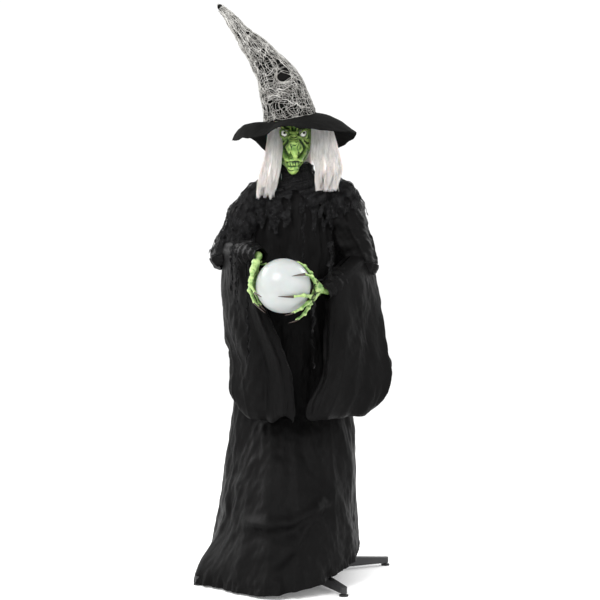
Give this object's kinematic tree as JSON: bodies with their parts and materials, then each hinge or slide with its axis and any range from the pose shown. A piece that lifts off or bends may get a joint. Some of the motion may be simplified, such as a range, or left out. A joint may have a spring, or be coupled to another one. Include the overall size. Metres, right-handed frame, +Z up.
{
  "type": "standing animated witch figure",
  "caption": "Standing robed figure on a folding-leg pole base, with a motor-turned masked head in a tall pointed hat and two posable arms holding a lit globe.",
  "frame": {"origin": "on the floor under the middle of the pole", "axes": "+Z up along the pole, the figure's body faces -Y, its left side is +X"},
  "size_m": [0.5454, 0.5825, 1.5935],
  "materials": {
    "black_powder_coat": "black powder coat",
    "foot_rubber": "matt rubber",
    "zinc_steel": "zinc plated",
    "black_plastic": "moulded, fine grain",
    "arm_tube": "dull",
    "speaker_parts": "black basket",
    "circuit_green": "lacquered",
    "battery_wrap": "printed film, no lettering",
    "switch_red": "moulded",
    "gear_nylon": "natural nylon",
    "brass_parts": "turned",
    "skull_plastic": "blow moulded",
    "witch_latex": "painted latex, dark green in the creases",
    "eye_white": "translucent with a dark pupil",
    "lamp_clear": "clear lens",
    "wig_fibre": "grey white synthetic hair",
    "hat_cloth": "matt black with a pale torn net",
    "globe_shell": "translucent milky white",
    "robe_cloth": "black satin-faced polyester",
    "gauze_cloth": "black open gauze"
  },
  "bodies": {
    "stand": {"base_hub": "black_powder_coat", "leg_front_right": "black_powder_coat", "leg_front_left": "black_powder_coat", "leg_back_left": "black_powder_coat", "leg_back_right": "black_powder_coat", "levelling_feet": "foot_rubber", "hub_screws": "zinc_steel", "lower_pole": "black_powder_coat", "upper_pole": "black_powder_coat", "pole_collar": "black_plastic", "torso_front_shell": "black_plastic", "torso_back_shell": "black_plastic", "torso_screws": "zinc_steel", "spine_bracket": "black_plastic", "shoulder_bar": "zinc_steel", "shoulder_forks": "zinc_steel", "shoulder_pins": "zinc_steel", "speaker": "speaker_parts", "circuit_board": "circuit_green", "battery_tray": "black_plastic", "batteries": "battery_wrap", "gearbox_base": "gear_nylon", "gearbox_cover": "gear_nylon", "head_motor": "speaker_parts", "neck_bush": "brass_parts", "robe_skirt": "robe_cloth", "robe_bodice": "robe_cloth", "gauze_shawl": "gauze_cloth", "neck_wrap": "gauze_cloth"},
    "button": {"pole_button": "zinc_steel"},
    "door": {"battery_door": "black_plastic"},
    "switch": {"mode_switch": "switch_red"},
    "pinion": {"motor_shaft": "zinc_steel", "motor_pinion": "brass_parts"},
    "head": {"neck_gear": "gear_nylon", "neck_shaft": "zinc_steel", "neck_flange": "black_plastic", "skull_form": "skull_plastic", "face_mask": "witch_latex", "right_eye": "eye_white", "left_eye": "eye_white", "eye_lamps": "lamp_clear", "wig_cap": "wig_fibre", "hair_right": "wig_fibre", "hair_left": "wig_fibre", "hair_back": "wig_fibre", "hat_cone": "hat_cloth", "hat_brim": "hat_cloth"},
    "right_arm_upper": {"right_upper_arm": "arm_tube", "elbow_pins_right": "zinc_steel"},
    "right_arm_lower": {"right_forearm": "arm_tube", "right_hand": "witch_latex", "sleeve_right": "robe_cloth"},
    "left_arm_upper": {"left_upper_arm": "arm_tube", "elbow_pins_left": "zinc_steel"},
    "left_arm_lower": {"left_forearm": "arm_tube", "left_hand": "witch_latex", "globe": "globe_shell", "globe_lamp": "black_plastic", "sleeve_left": "robe_cloth"}
  },
  "joints": [
    {"name": "head_turn", "type": "hinge", "parent": "stand", "child": "head", "pos_m": [0, 0, 1.12], "axis": [0, 0, 1], "range_deg": [-35, 35], "deforming": ["hair_right", "hair_left"]},
    {"name": "pinion_spin", "type": "hinge", "parent": "stand", "child": "pinion", "pos_m": [0, 0.0256, 1.09], "axis": [0, 0, 1], "range_deg": [-155, 155]},
    {"name": "right_shoulder", "type": "hinge", "parent": "stand", "child": "right_arm_upper", "pos_m": [-0.115, 0, 1.058], "axis": [0, 1, 0], "range_deg": [0, 25]},
    {"name": "right_elbow", "type": "hinge", "parent": "right_arm_upper", "child": "right_arm_lower", "pos_m": [-0.195, 0, 0.905], "axis": [0, 0, -1], "range_deg": [0, 30]},
    {"name": "left_shoulder", "type": "hinge", "parent": "stand", "child": "left_arm_upper", "pos_m": [0.115, 0, 1.058], "axis": [0, -1, 0], "range_deg": [0, 25]},
    {"name": "left_elbow", "type": "hinge", "parent": "left_arm_upper", "child": "left_arm_lower", "pos_m": [0.19, 0, 0.885], "axis": [0, 0, 1], "range_deg": [0, 30]},
    {"name": "battery_door_slide", "type": "slide", "parent": "stand", "child": "door", "axis": [0, 0, 1], "range_m": [0, 0.042]},
    {"name": "mode_switch_slide", "type": "slide", "parent": "stand", "child": "switch", "axis": [0, 0, 1], "range_m": [0, 0.008]},
    {"name": "pole_button_press", "type": "slide", "parent": "stand", "child": "button", "axis": [0, -1, 0], "range_m": [0, 0.004], "stiffness_N_per_m": 800}
  ],
  "couplings": [
    {"joint": "pinion_spin", "follows": "head_turn", "ratio": -4.3333}
  ]
}
